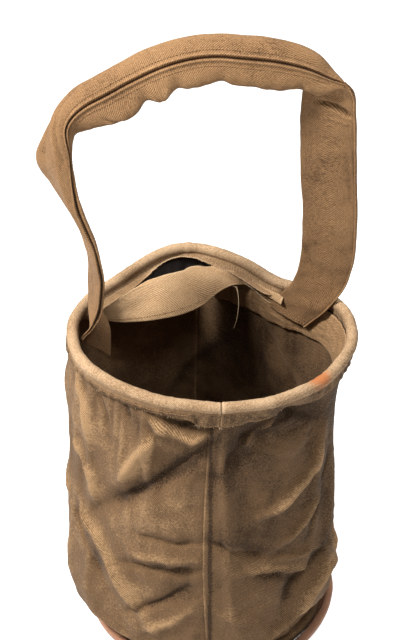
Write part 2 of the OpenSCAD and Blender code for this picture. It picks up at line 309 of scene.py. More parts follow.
def threadLook(name, colour, pale):
    g = Graph(name)
    here = g.place()
    shade = g.noise(here, 300, 3)
    twist = g.add("ShaderNodeTexWave", {"bands_direction": "DIAGONAL"}, {"Vector": here, "Scale": 500})
    tone = g.mixColours(colour, pale, (shade + twist * 0.3 - 0.1).clip())
    g.set(Base_Color=tone, Roughness=0.8)
    return g.material


looks = {
    # painted shade: the wall's colours are set darker than the rest of the canvas, as the wall faces away
    # from the top light
    "wall": twillCloth("shadedBodyCanvas", linear(58, 41, 25), linear(118, 90, 62), linear(184, 147, 106)),
    "rim": twillCloth("rimCanvas", linear(74, 54, 35), linear(152, 120, 86), linear(214, 180, 142),
                      stain=((0.104, -0.080, 0.366), 0.017, linear(168, 98, 52), 0.85), wearAndShadeShift=0.05),
    "facing": twillCloth("facingCanvas", linear(92, 68, 44), linear(164, 128, 90), linear(214, 176, 134)),
    # painted light: the loose stretch of the facing gets paler colours than the facing, as it faces up into
    # the light
    "flap": twillCloth("litFlapCanvas", linear(126, 96, 64), linear(202, 164, 122), linear(238, 203, 160)),
    "strap": twillCloth("strapCanvas", linear(86, 60, 37), linear(154, 117, 80), linear(208, 166, 122),
                        seamShade=((0.0, 0.0008, 0.9), (0.106, 0.0008, 0.9))),
    "tape": tapeCloth("bindingTape"),
    "grey": plainCloth("greyLining", linear(66, 58, 56), linear(104, 94, 90)),
    "bodyThread": threadLook("bodyThread", linear(58, 40, 24), linear(96, 72, 48)),
    "thread": threadLook("brownThread", linear(92, 62, 36), linear(160, 122, 84)),
    "paleThread": threadLook("paleThread", linear(176, 146, 110), linear(224, 200, 166)),
    "rope": plainCloth("rimRope", linear(150, 128, 98), linear(196, 176, 144)),
}
print("materials made")


def finishMesh(name, bm, material):
    mesh = bpy.data.meshes.new(name)
    bm.to_mesh(mesh)
    bm.free()
    obj = bpy.data.objects.new(name, mesh)
    bpy.context.scene.collection.objects.link(obj)
    mesh.materials.append(material)
    for p in mesh.polygons:
        p.use_smooth = True
    return obj


def clothGrid(name, columns, rows, place, size, material, closed=False, spread=lambda v: v):
    # a sheet from a grid: place(u, v) gives each point, and the UV map is in metres of cloth
    bm = bmesh.new()
    bmesh.ops.create_grid(bm, x_segments=columns, y_segments=rows, size=0.5)
    layer = bm.loops.layers.uv.new("cloth")
    at = {v.index: (v.co.x + 0.5, spread(v.co.y + 0.5)) for v in bm.verts}
    for f in bm.faces:
        for loop in f.loops:
            u, v = at[loop.vert.index]
            loop[layer].uv = (u * size[0], v * size[1])
    for v in bm.verts:
        v.co = place(*at[v.index])
    if closed:
        bmesh.ops.remove_doubles(bm, verts=bm.verts, dist=1e-5)
        bmesh.ops.recalc_face_normals(bm, faces=bm.faces)
    return finishMesh(name, bm, material)


def thicken(obj, thick, offset=0.0, levels=0):
    solid = obj.modifiers.new("thickness", "SOLIDIFY")
    solid.thickness, solid.offset, solid.use_even_offset = thick, offset, False
    if levels:
        sub = obj.modifiers.new("smooth", "SUBSURF")
        sub.levels = sub.render_levels = levels
    return obj


def bake(obj):
    # applies the modifiers, so that what follows works on the final mesh
    graph = bpy.context.evaluated_depsgraph_get()
    mesh = bpy.data.meshes.new_from_object(obj.evaluated_get(graph), depsgraph=graph)
    obj.modifiers.clear()
    old = obj.data
    obj.data = mesh
    bpy.data.meshes.remove(old)
    return obj


def addWearAndShade(obj, strength=1.0, spread=2, base=0.5, extra=None):
    # a vertex value that is high on ridges, where the cloth is worn pale, and low in creases as painted
    # shade
    mesh = obj.data
    count = len(mesh.vertices)
    near = [[] for _ in range(count)]
    for e in mesh.edges:
        a, b = e.vertices
        near[a].append(b)
        near[b].append(a)
    co = [v.co.copy() for v in mesh.vertices]
    normal = [v.normal.copy() for v in mesh.vertices]
    bend = []
    for i in range(count):
        if not near[i]:
            bend.append(0.0)
            continue
        middle = sum((co[j] for j in near[i]), Vector()) / len(near[i])
        reach = sum((co[j] - co[i]).length for j in near[i]) / len(near[i])
        bend.append((co[i] - middle).dot(normal[i]) / max(reach, 1e-6) ** 1.5 * 0.05)
    for _ in range(spread):
        bend = [(bend[i] + sum(bend[j] for j in near[i])) / (1 + len(near[i])) for i in range(count)]
    attribute = mesh.attributes.new("wearAndShade", "FLOAT", "POINT")
    for i in range(count):
        value = base + strength * bend[i] + (extra(co[i]) if extra else 0)
        attribute.data[i].value = min(1, max(0, value))
    return obj


def stitches(name, spots, radius, length, material, node, body=None):
    # a row of short threads that stands for a node; spots are (middle, direction, outward)
    bm = bmesh.new()
    for middle, ahead, out in spots:
        made = bmesh.ops.create_icosphere(bm, subdivisions=1, radius=1.0)
        x = ahead.normalized()
        z = (out - x * out.dot(x)).normalized()
        y = z.cross(x)
        turn = Matrix((x * length / 2, y * radius, z * radius)).transposed().to_4x4()
        turn.translation = middle
        bmesh.ops.transform(bm, matrix=turn, verts=made["verts"])
    return threadPiece(finishMesh(name, bm, material), node, body)


def threadPiece(row, node, body=None):
    if body:
        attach(row, body)
    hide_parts(node)
    return row


def alongCurve(points, t):
    # a smooth curve through given points, t from 0 to 1
    n = len(points) - 1
    x = min(max(t, 0), 1) * n
    i = min(int(x), n - 1)
    u = x - i
    a, b, c, d = points[max(i - 1, 0)], points[i], points[i + 1], points[min(i + 2, n)]
    if isinstance(b, (int, float)):
        return between(a, b, c, d, u)
    return Vector([alongCurve((p, q, r, s), (1 + u) / 3) for p, q, r, s in zip(a, b, c, d)])


cameraPlace = {
    "target": Vector((-0.012, 0.006, 0.368)),
    "distance": 1.62,
    "elevation": 37,
    "lens": 91,
}


def makeCamera():
    data = bpy.data.cameras.new("camera")
    camera = bpy.data.objects.new("camera", data)
    bpy.context.scene.collection.objects.link(camera)
    data.lens, data.sensor_width = cameraPlace["lens"], 36
    e = math.radians(cameraPlace["elevation"])
    away = Vector((0, -math.cos(e), math.sin(e)))
    camera.location = cameraPlace["target"] + away * cameraPlace["distance"]
    camera.rotation_euler = (-away).to_track_quat("-Z", "Y").to_euler()
    data.clip_end = 20
    bpy.context.scene.camera = camera


studio = {
    # each lamp: place, aim, size, power, colour
    "keyTop": ((-1.25, -0.55, 2.15), (0, 0, 0.3), 0.42, 100, (1.0, 0.985, 0.96)),
    "backTop": ((0.3, 1.0, 2.3), (0, 0, 0.45), 1.0, 24, (1.0, 0.99, 0.97)),
    "front": ((0.75, -0.9, 2.7), (0, 0, 0.25), 0.8, 26, (1.0, 1.0, 1.0)),
}


air = {"light": 0.17, "floorTone": 0.5, "floorGlow": 0.78}


def makeStudio():
    for name, (place, aim, size, power, colour) in studio.items():
        data = bpy.data.lights.new(name, "AREA")
        data.shape, data.size, data.energy, data.color = "DISK", size, power, colour
        light = bpy.data.objects.new(name, data)
        light.location = place
        light.rotation_euler = (Vector(aim) - Vector(place)).to_track_quat("-Z", "Y").to_euler()
        bpy.context.scene.collection.objects.link(light)
    world = bpy.data.worlds.new("studioAir")
    bpy.context.scene.world = world
    world.use_nodes = True
    world.node_tree.nodes["Background"].inputs[0].default_value = (1, 1, 1, 1)
    world.node_tree.nodes["Background"].inputs[1].default_value = air["light"]
    bm = bmesh.new()
    bmesh.ops.create_grid(bm, x_segments=1, y_segments=1, size=6)
    bmesh.ops.translate(bm, verts=bm.verts, vec=(0, 2, 0))
    g = Graph("paleFloor")
    g.set(Base_Color=(air["floorTone"],) * 3, Roughness=0.9)
    g.set(Emission_Color=(1, 1, 1), Emission_Strength=air["floorGlow"])
    finishMesh("floor", bm, g.material)
    bpy.context.scene.view_settings.view_transform = "Standard"


makeCamera()
makeStudio()
print("camera and lights made")

# the wall's cloth: chosen folds first, and then a simulation for the small ones
wallShape = {
    "columns": 180,
    "rows": 80,
    "top": 0.3545,
    "foot": 0.0045,
    "girth": 0.85,
    # broad swells and hollows: angle, height, spread in degrees, spread in height, depth
    "swells": (
        (182, 0.300, 24, 0.035, 0.009), (178, 0.215, 22, 0.028, -0.005), (182, 0.095, 24, 0.040, 0.006),
        (356, 0.262, 24, 0.034, -0.012), (352, 0.315, 20, 0.020, -0.006), (355, 0.090, 24, 0.040, 0.005),
        (306, 0.326, 17, 0.018, -0.015), (257, 0.334, 8, 0.010, -0.006), (288, 0.240, 18, 0.035, -0.003),
        (246, 0.220, 14, 0.030, 0.003), (60, 0.200, 30, 0.060, -0.006), (120, 0.150, 26, 0.060, 0.006),
    ),
    # creases and ridges: points (angle, height), width, depth
    "folds": (
        (((247, 0.326), (238, 0.290), (228, 0.244)), 0.0085, 0.0110),
        (((270, 0.316), (252, 0.275), (237, 0.246), (216, 0.196)), 0.0105, -0.0125),
        (((284, 0.304), (294, 0.322), (306, 0.336)), 0.0060, 0.0085),
        (((277, 0.276), (286, 0.316), (300, 0.324)), 0.0110, -0.0110),
        (((300, 0.350), (318, 0.322), (330, 0.300)), 0.0100, -0.0080),
        (((331, 0.290), (325, 0.246), (308, 0.222), (296, 0.214)), 0.0065, 0.0090),
        (((334, 0.218), (318, 0.184), (306, 0.168)), 0.0055, 0.0065),
        (((338, 0.250), (330, 0.200), (322, 0.160)), 0.0090, -0.0060),
        (((354, 0.120), (346, 0.098), (331, 0.102), (318, 0.074), (312, 0.040)), 0.0060, 0.0095),
        (((350, 0.138), (330, 0.126), (310, 0.100), (304, 0.070)), 0.0085, -0.0075),
        (((238, 0.194), (252, 0.190), (268, 0.188)), 0.0050, -0.0055),
        (((231, 0.144), (248, 0.152), (267, 0.152)), 0.0055, -0.0060),
        (((236, 0.162), (252, 0.168), (266, 0.166)), 0.0060, 0.0045),
        (((262, 0.130), (246, 0.100), (230, 0.072)), 0.0060, -0.0065),
        (((266, 0.108), (254, 0.080), (240, 0.060)), 0.0065, 0.0050),
        (((271, 0.196), (286, 0.176), (302, 0.156)), 0.0055, -0.0065),
        (((286, 0.150), (304, 0.138), (324, 0.114)), 0.0050, 0.0065),
        (((302, 0.150), (322, 0.142), (344, 0.114)), 0.0050, 0.0055),
        (((290, 0.142), (306, 0.124), (316, 0.104)), 0.0060, -0.0060),
        (((274, 0.100), (290, 0.078), (300, 0.050)), 0.0060, 0.0035),
        (((197, 0.262), (212, 0.236), (217, 0.190)), 0.0075, 0.0070),
        (((200, 0.190), (216, 0.162), (232, 0.110), (246, 0.064)), 0.0075, 0.0080),
        (((196, 0.170), (208, 0.138), (222, 0.090)), 0.0090, -0.0085),
        (((184, 0.220), (194, 0.176), (200, 0.140)), 0.0080, 0.0050),
        (((212, 0.348), (219, 0.322), (222, 0.296)), 0.0050, -0.0060),
        (((228, 0.350), (233, 0.326)), 0.0045, -0.0050),
        (((238, 0.344), (250, 0.328), (262, 0.318), (274, 0.334)), 0.0055, 0.0075),
        (((244, 0.342), (256, 0.332), (268, 0.340)), 0.0045, -0.0040),
        (((200, 0.340), (208, 0.310), (212, 0.270)), 0.0065, 0.0060),
        (((60, 0.300), (40, 0.240), (30, 0.180)), 0.0080, 0.0070),
        (((80, 0.260), (100, 0.210), (112, 0.150)), 0.0080, -0.0070),
        (((150, 0.300), (138, 0.250), (120, 0.220)), 0.0080, 0.0070),
        (((20, 0.120), (44, 0.100), (64, 0.060)), 0.0080, 0.0080),
        (((130, 0.110), (110, 0.080), (92, 0.070)), 0.0070, 0.0060),
        (((10, 0.200), (24, 0.170), (50, 0.160)), 0.0060, -0.0050),
    ),
    # height of the fold that hangs over the base seam, at angles 40 degrees apart from 0
    "hangZ": (0.034, 0.040, 0.034, 0.030, 0.036, 0.048, 0.040, 0.034, 0.064),
    "hangOut": (0.007, 0.007, 0.006, 0.008, 0.020, 0.021, 0.013, 0.012, 0.010),
}


def roundList(values, a):
    # a smooth value round the sack from evenly spaced ones
    n = len(values)
    x = (a % 360) / 360 * n
    i = int(x)
    u = x - i
    p, q, r, s = (values[(i + k - 1) % n] for k in range(4))
    return between(p, q, r, s, u)


def swellField(a, z):
    total = 0.0
    for at, height, da, dz, depth in wallShape["swells"]:
        d = (a - at + 180) % 360 - 180
        if abs(d) < 3 * da and abs(z - height) < 3 * dz:
            total += depth * hump(d, 0, da) * hump(z, height, dz)
    return total


def foldField(a, z, sharp):
    total = 0.0
    r = 0.135
    for points, width, depth in wallShape["folds"]:
        heights = [q[1] for q in points]
        if z < min(heights) - 4 * width or z > max(heights) + 4 * width:
            continue
        if abs((points[1][0] - a + 180) % 360 - 180) > 45:
            continue
        best, way = 1e9, 0.0
        for k in range(len(points) - 1):
            ax, az = math.radians((points[k][0] - a + 180) % 360 - 180) * r, points[k][1] - z
            bx, bz = math.radians((points[k + 1][0] - a + 180) % 360 - 180) * r, points[k + 1][1] - z
            dx, dz = bx - ax, bz - az
            t = -(ax * dx + az * dz) / (dx * dx + dz * dz)
            t = min(1, max(0, t))
            d = math.hypot(ax + t * dx, az + t * dz)
            if d < best:
                best, way = d, (k + t) / (len(points) - 1)
        if best < 4 * width:
            taper = smooth(-0.02, 0.25, way) * smooth(1.02, 0.7, way) if 0 < way < 1 else 0.25
            shape = math.exp(-1.2 * best / width) if sharp else math.exp(-((best / width) ** 1.6))
            total += depth * (0.35 + 0.65 * taper) * shape
    return total


def wallPlace(a, m):
    # where the point of the cloth at angle a and height m lies
    hangZ = roundList(wallShape["hangZ"], a)
    hang = roundList(wallShape["hangOut"], a)
    t = (m - hangZ) / 0.008
    over = smooth(-1.2, 1.1, t)
    above = max(0, m - hangZ)
    out = hang * over * math.exp(-above / 0.085) - 0.003 * (1 - over) * smooth(0.008, 0.020, m)
    z = m - 0.0085 * hump(t, 0.9, 0.8) + 0.0035 * hump(t, -1.0, 0.8) * smooth(0.006, 0.016, m)
    fade = smooth(0.356, 0.338, m) * smooth(0.0, 0.030, above)
    out += (swellField(a, m) + 0.5 * foldField(a, m, False)) * fade
    ripple = roundWobble(a, m * 6, 4.0) * 0.0022 + roundWobble(a, m * 8, 9.0, 1) * 0.0011
    out += ripple * smooth(0.358, 0.330, m) * smooth(0.004, 0.020, m)
    p = plainWall(a, z, out)
    p.z = z
    return p


settle = {
    "frames": 22,
    "mass": 0.35,
    "damping": 4.0,
    "stretch": 18,      # how stiff the cloth is along its threads
    "shear": 6,
    "bend": 0.6,
    "grow": 0.022,      # how much too big the cloth is for its frame
    "gravity": 0.25,
    "capFront": 0.0065,  # the furthest a point may move
    "capBack": 0.0018,
}


def simulateWall(obj):
    # the cloth is a little too big for its frame, so it settles into small creases
    mesh = obj.data
    group = obj.vertex_groups.new(name="held")
    start = [v.co.copy() for v in mesh.vertices]
    for v in mesh.vertices:
        hold = max(smooth(0.340, 0.354, v.co.z), smooth(0.018, 0.008, v.co.z))
        group.add([v.index], max(0.02, hold), "REPLACE")
    mod = obj.modifiers.new("settle", "CLOTH")
    s = mod.settings
    s.quality, s.mass, s.air_damping = 5, settle["mass"], settle["damping"]
    s.tension_stiffness = s.compression_stiffness = settle["stretch"]
    s.shear_stiffness, s.bending_stiffness = settle["shear"], settle["bend"]
    s.vertex_group_mass, s.pin_stiffness = "held", 0.6
    s.shrink_min = s.shrink_max = -settle["grow"]
    s.effector_weights.gravity = settle["gravity"]
    scene = bpy.context.scene
    for f in range(1, settle["frames"] + 1):
        scene.frame_set(f)
    bake(obj)
    scene.frame_set(1)
    for v, p in zip(obj.data.vertices, start):
        d = v.co - p
        cap = mix(settle["capFront"], settle["capBack"], smooth(-0.02, 0.05, p.y))
        v.co = p + d * min(1, cap / max(d.length, 1e-9))
    return obj


def makeWallCloth():
    cols, rows = wallShape["columns"], wallShape["rows"]
    first = sack["frontSeam"]
    foot, top = wallShape["foot"], wallShape["top"]

    def place(u, v):
        return wallPlace(first + 360 * u, mix(foot, top, v))

    size = (wallShape["girth"], top - foot)
    obj = clothGrid("wallCloth", cols, rows, place, size, looks["wall"], closed=True)
    simulateWall(obj)
    return obj


def gridFrom(obj):
    # the settled points by column and row, found again from the UV map
    cols, rows = wallShape["columns"], wallShape["rows"]
    tall = wallShape["top"] - wallShape["foot"]
    mesh = obj.data
    layer = mesh.uv_layers["cloth"].data
    grid = [[None] * (rows + 1) for _ in range(cols)]
    for loop in mesh.loops:
        u, v = layer[loop.index].uv
        i, j = round(u / wallShape["girth"] * cols) % cols, round(v / tall * rows)
        grid[i][j] = mesh.vertices[loop.vertex_index].co.copy()
    return grid


wallCloth = makeWallCloth()
wallGrid = gridFrom(wallCloth)
bpy.data.objects.remove(wallCloth)
print("wall cloth settled")


def wallAt(a, m):
    # the settled wall's middle surface at an angle and a height of the cloth
    cols, rows = wallShape["columns"], wallShape["rows"]
    x = ((a - sack["frontSeam"]) % 360) / 360 * cols
    y = (m - wallShape["foot"]) / (wallShape["top"] - wallShape["foot"]) * rows
    y = min(max(y, 0), rows - 1e-6)
    i, j = int(x), int(y)
    s, t = x - i, y - j
    i, k = i % cols, (i + 1) % cols
    low = wallGrid[i][j].lerp(wallGrid[k][j], s)
    high = wallGrid[i][j + 1].lerp(wallGrid[k][j + 1], s)
    return low.lerp(high, t)


def wallNormal(a, m):
    d = 1.2
    along = wallAt(a + d, m) - wallAt(a - d, m)
    rise = wallAt(a, min(m + 0.004, 0.354)) - wallAt(a, m - 0.004)
    n = along.cross(rise)
    return n.normalized()


def crisp(a, m):
    # the sharp part of the folds, and the cloth's finest crumple
    x = math.radians(a)
    above = max(0, m - roundList(wallShape["hangZ"], a))
    fade = smooth(0.350, 0.336, m) * smooth(0.0, 0.020, above) * (1 - 0.7 * smooth(-0.05, 0.4, math.sin(x)))
    q = Vector((math.cos(x) * 6, math.sin(x) * 6, m * 42))
    crumple = 0.5 - abs(noise.noise(q * 1.1))
    crumple2 = 0.5 - abs(noise.noise(q * 2.6 + Vector((3, 1, 7))))
    small = 0.0012 * (crumple - 0.3) + 0.0005 * (crumple2 - 0.3)
    return (0.62 * foldField(a, m, True) + small) * fade


def onWall(a, m, out):
    return wallAt(a, m) + wallNormal(a, m) * (out + crisp(a, m))


def dress(obj, slotName, flat, held, node, **more):
    # a sheet of the sack's own body, in place of one node
    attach(obj, "sack")
    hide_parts(node)


def sewnOn(a, m, out):
    return onWall(a, min(m, sack["clothTop"]), out)


# where the right panel covers the left one: width in degrees, height, easing in degrees
lap = {"width": 4.4, "rise": 0.0012, "ease": 13.0}
panels = {"wide": {"Left": 0.42, "Right": 0.44}, "tall": 0.36, "thick": sack["clothT"] * 0.75, "wornAndShaded": 0.38}


def makeWallPanels():
    first = sack["frontSeam"]
    foot, top = wallShape["foot"], wallShape["top"]
    def left(u, v):
        return onWall(first + 180 + 180 * u, mix(foot, top, v), 0)

    def right(u, v):
        a = mix(first - lap["width"], first + 180 + lap["width"], u)
        front = smooth(first + lap["ease"], first - 2, a)
        back = smooth(first + 180 - lap["ease"], first + 182, a)
        return onWall(a, mix(foot, top, v), lap["rise"] * max(front, back))

    edge = first - lap["width"]

    def paintedLightAndShade(p):
        # painted light and shade: pale on the folds' ridges and swells, darker in their creases and
        # hollows, lighter on the left side where the key lamp falls, darker just below the rim, and darkest
        # along the front seam's edge
        a = math.degrees(math.atan2(p.y, p.x))
        value = 0.16 * smooth(0.0, 0.08, p.x * -0.6 + 0.03) - 0.1 * smooth(0.3, 0.35, p.z)
        value += 42 * foldField(a, p.z, False) + 16 * swellField(a, p.z)
        return value - 0.7 * turnHump(a, edge, 0.55)

    for side, columns, place in (("Left", 200, left), ("Right", 210, right)):
        wide = panels["wide"][side]
        obj = clothGrid("wall" + side, columns, 165, place, (wide, top - foot), looks["wall"])
        thicken(obj, panels["thick"])
        addWearAndShade(bake(obj), 1.0, 2, panels["wornAndShaded"], paintedLightAndShade)
        dress(obj, "body_canvas", (wide, panels["tall"]), "hung", "body_panel_" + side.lower())


makeWallPanels()
print("wall panels made")

base = {
    "radius": 0.1345,
    "cutRadius": 0.136,
    "flat": (0.27, 0.27),
    "rings": (0.008, 0.01, 0.02, 0.02, 0.02, 0.02, 0.02),  # widths from the edge inwards
}


def makeBase():
    bm = bmesh.new()
    bmesh.ops.create_circle(bm, cap_ends=True, segments=120, radius=base["radius"])
    for width in base["rings"]:
        face = max(bm.faces, key=lambda f: len(f.verts))
        bmesh.ops.inset_region(bm, faces=[face], thickness=width)
    for v in bm.verts:
        r = v.co.xy.length
        ripple = wobble(v.co.x, v.co.y, 0, 22) * 0.0008 + wobble(v.co.x, v.co.y, 0.3, 60) * 0.0003
        v.co.z = 0.0012 + 0.0016 * smooth(0.122, 0.130, r) + abs(ripple) * smooth(0.126, 0.110, r)
    layer = bm.loops.layers.uv.new("cloth")
    for f in bm.faces:
        for loop in f.loops:
            loop[layer].uv = loop.vert.co.xy
    obj = finishMesh("baseCloth", bm, looks["wall"])
    thicken(obj, sack["clothT"], levels=1)
    addWearAndShade(bake(obj), 1.0, 1, 0.4)
    dress(obj, "body_canvas", base["flat"], "laid", "base_panel", area=math.pi * base["cutRadius"] ** 2)


binding = {
    "inner": 0.1262,
    "lip": 0.1374,
    "height": 0.0084,
    "thick": 0.0011,
    "flat": (0.86, 0.033),
    "stitches": 250,
}


def makeBinding():
    # the tape's section, from its underside round the lip to its upper edge
    inner, lip, height = binding["inner"], binding["lip"], binding["height"]
    path = [
        (inner, 0.0007), (mix(inner, lip, 0.5), 0.0006), (lip - 0.0016, 0.0007), (lip - 0.0004, 0.0018),
        (lip, height * 0.5), (lip - 0.0004, height - 0.0016), (lip - 0.0018, height - 0.0004),
        (lip - 0.0044, height + 0.0002), (lip - 0.0066, height - 0.0006),
    ]

    def place(u, v):
        a = 360 * u
        x = math.radians(a)
        r, z = alongCurve([p[0] for p in path], v), alongCurve([p[1] for p in path], v)
        wave = roundWobble(a, 0, 5) * 0.0010
        r += wave * smooth(0.0, 0.004, z)
        z += (roundWobble(a, 2, 9) * 0.0006) * smooth(0.002, 0.006, z)
        return Vector((r * math.cos(x), r * math.sin(x), max(z, 0.0006)))

    obj = clothGrid("bindingTape", 240, 16, place, (0.86, 0.034), looks["tape"], closed=True)
    thicken(obj, binding["thick"])
    addWearAndShade(bake(obj), 1.0, 1, 0.5)
    dress(obj, "binding_tape", binding["flat"], "folded", "base_binding")
    spots = []
    for i in range(binding["stitches"]):
        x = 2 * math.pi * i / binding["stitches"]
        r = lip - 0.0040
        middle = Vector((r * math.cos(x), r * math.sin(x), height + 0.0006))
        spots.append((middle, Vector((-math.sin(x), math.cos(x), 0)), up))
    stitches("bindingStitches", spots, 0.00042, 0.0027, looks["thread"], "base_stitching", "sack")


makeBase()
makeBinding()
print("base made")

# the casing's section has a hem outside, a roll over the cord and a turn inside
rim = {
    "flat": (0.85, 0.062),
    "thick": 0.0013,
    "hemShare": 0.3,        # share of the strip's width in the hem
    "rollShare": 0.5,       # and in the roll
    "rollFrom": -38,        # where the roll starts and ends, degrees from outwards
    "rollTo": 218,
    "rollFoot": 0.0075,     # depth below the cord's middle at which the roll ends
    "join": -86,            # angle of the strip's join
    "hemDepth": 0.0215,
    "hemShort": 0.0115,     # the hem's depth on the left, where it has drawn up
    "turnDepth": 0.0135,
    "flangeWide": 0.0105,   # width of the flat inner edge at the back
    "tear": (264, 0.0050),  # angle and height of the torn stretch of the hem
    "stitchUp": 0.0026,     # the hem's stitches above its edge
    "stitches": 270,
}


def rimDrop(a):
    # the rim line is not quite level
    tilt = 0.0015 * math.sin(math.radians(a * 2 + 30))
    return tilt + 0.004 * turnHump(a, 103, 22) - 0.002 * turnHump(a, 285, 30)


def rimCentre(a):
    p = plainWall(a, sack["rimZ"], roundWobble(a, 4, 3) * 0.0018)
    p.z = sack["rimZ"] + rimDrop(a)
    return p


def rimFrame(a):
    # the cord's middle and the level direction away from the mouth
    ahead = (rimCentre(a + 1) - rimCentre(a - 1)).normalized()
    return rimCentre(a), ahead.cross(up).normalized()


def hemDepth(a):
    a = a % 360
    depth = mix(rim["hemShort"], rim["hemDepth"], smooth(246, 272, a))
    depth = mix(depth, rim["hemShort"] + 0.003, smooth(318, 350, a))
    depth -= rim["tear"][1] * hump(a, rim["tear"][0] - 4, 3.5)
    return depth + roundWobble(a, 7, 12) * 0.0012


def flangeAt(a):
    # 1 where the turned edge lies flat as a ledge at the back
    a = a % 360
    return smooth(170, 160, a) * smooth(40, 52, a)


def casingPoint(a, v):
    # v from the hem's edge outside, over the roll, to the turned edge inside
    middle, out = rimFrame(a)
    r = sack["rollR"] * (1 + 0.07 * roundWobble(a, 9, 14) + 0.05 * roundWobble(a, 3, 30, 2))

    def roll(degrees):
        turn = math.radians(degrees)
        return middle + out * r * math.cos(turn) + up * r * math.sin(turn)

    hemEnd, rollEnd = rim["hemShare"], rim["hemShare"] + rim["rollShare"]
    if v < hemEnd:
        t = v / hemEnd
        m = sack["rimZ"] - mix(hemDepth(a), rim["rollFoot"], t)
        lift = 0.0030 + 0.0014 * (1 - t) + 0.0012 * roundWobble(a, 1, 16) * (1 - t)
        lift += 0.0035 * (1 - t) ** 2 * hump(a % 360, rim["tear"][0], 5)
        return sewnOn(a, m, lift).lerp(roll(rim["rollFrom"]), smooth(0.75, 1.0, t) * 0.6)
    if v < rollEnd:
        return roll(mix(rim["rollFrom"], rim["rollTo"], (v - hemEnd) / rim["rollShare"]))
    t = (v - rollEnd) / (1 - rollEnd)
    m = sack["rimZ"] - mix(rim["rollFoot"], rim["turnDepth"], t)
    p = sewnOn(a, m, -0.0026)
    flat = flangeAt(a)
    if flat:
        wide = rim["flangeWide"] * (1 - 0.8 * hump(a % 360, 107, 12))
        wide += 0.0012 * wobble(math.radians(a) * 40, 0, 0)
        down = r * 0.62 + wide * 0.42 * t + 0.0016 * math.sin(math.pi * t)
        p = p.lerp(middle - out * (r * 0.8 + wide * t) - up * down, flat)
    return roll(rim["rollTo"]).lerp(p, smooth(0.0, 0.6, t))


def makeCasing():
    # the strip's two ends meet in a narrow pinched groove
    first = rim["join"] + 0.12

    def place(u, v):
        a = first + 359.76 * u
        p = casingPoint(a, v)
        pinch = turnHump(a, rim["join"], 0.5)
        return p - (p - rimFrame(a)[0]).normalized() * 0.0011 * pinch

    def paintedLightAndShade(p):
        # painted light and shade: lighter on the top of the roll, darker below it on the hem and the inner
        # turn
        return 0.10 * smooth(0.356, 0.366, p.z) - 0.45 * smooth(0.355, 0.349, p.z)

    obj = clothGrid("rimCasing", 420, 44, place, rim["flat"], looks["rim"])
    thicken(obj, rim["thick"], -1.0)
    addWearAndShade(bake(obj), 0.8, 1, 0.55, paintedLightAndShade)
    dress(obj, "rim_canvas", rim["flat"], "folded", "rim_casing")


def stitchRow(name, place, first, last, count, node, skip=None):
    # stitches round the sack; place gives the point or the outward direction at an angle
    spots = []
    for i in range(count):
        a = mix(first, last, (i + 0.5) / count)
        if skip and skip(a):
            continue
        d = (last - first) / count * 0.3
        p, q = place(a - d), place(a + d)
        spots.append(((p + q) / 2, q - p, place(a, True)))
    stitches(name, spots, 0.0004, 0.0026, looks["thread"], node, "sack")


def rimLine(a, normal=False):
    out = rimFrame(a)[1]
    return out if normal else casingPoint(a, 0.285) + out * 0.0002


def hemLine(a, normal=False):
    m = sack["rimZ"] - hemDepth(a) + rim["stitchUp"]
    return wallNormal(a, m) if normal else sewnOn(a, m, 0.0040)


def atTear(a):
    return abs(a % 360 - rim["tear"][0]) < 5


def makeRope():
    def place(u, v):
        middle, out = rimFrame(360 * u)
        turn = 2 * math.pi * v
        r = sack["cordR"] * (0.97 + 0.04 * math.sin(3 * turn + 360 * u * 0.9))
        return middle + out * r * math.cos(turn) + up * r * math.sin(turn)

    obj = clothGrid("rimRope", 360, 12, place, (0.85, 0.025), looks["rope"], closed=True)
    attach(obj, "sack")
    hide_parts("rim_cord")


makeRope()
makeCasing()
for name, line, node, skip in (("rimStitches", rimLine, "rim_stitching", None),
                               ("hemStitches", hemLine, "hem_stitching", atTear)):
    stitchRow(name, line, rim["join"] + 1, rim["join"] + 359, rim["stitches"], node, skip)
print("rim made")

facing = {
    "span": (170, 446),
    "foot": 0.308,
    "top": 0.3495,
    "in": 0.0040,
    "thick": 0.0012,
    "flat": (0.66, 0.044),
    "stitchRow": 0.09,      # share of its height, from the foot
    "stitches": 210,
}


def facingPoint(a, v):
    belly = math.sin(math.pi * v)
    m = mix(facing["foot"], facing["top"], v) + roundWobble(a, 5, 7) * 0.0016 * (1 - v)
    return sewnOn(a, m, -(facing["in"] + 0.0016 * belly + roundWobble(a, v, 10) * 0.0010 * belly))


def makeFacing():
    def place(u, v):
        return facingPoint(mix(*facing["span"], u), v)

    obj = clothGrid("innerFacing", 400, 26, place, facing["flat"], looks["facing"])
    thicken(obj, facing["thick"])
    addWearAndShade(bake(obj), 0.8, 1, 0.5)
    dress(obj, "facing_canvas", facing["flat"], "hung", "inner_facing")

    def line(a, normal=False):
        inwards = -wallNormal(a, 0.312)
        return inwards if normal else facingPoint(a, facing["stitchRow"]) + inwards * 0.0008

    stitchRow("facingStitches", line, *facing["span"], facing["stitches"], "facing_stitching")


lining = {"span": (62, 144), "foot": 0.318, "top": 0.3495, "thick": 0.0007, "flat": (0.19, 0.032)}


def makeLining():
    def place(u, v):
        m = mix(lining["foot"], lining["top"], v)
        return onWall(mix(*lining["span"], u), m, -0.0022 - 0.0008 * abs(wobble(u * 3, v, 0)))

    obj = clothGrid("greyLining", 110, 28, place, lining["flat"], looks["grey"])
    thicken(obj, lining["thick"])
    addWearAndShade(bake(obj))
    dress(obj, "grey_lining", lining["flat"], "hung", "back_lining")


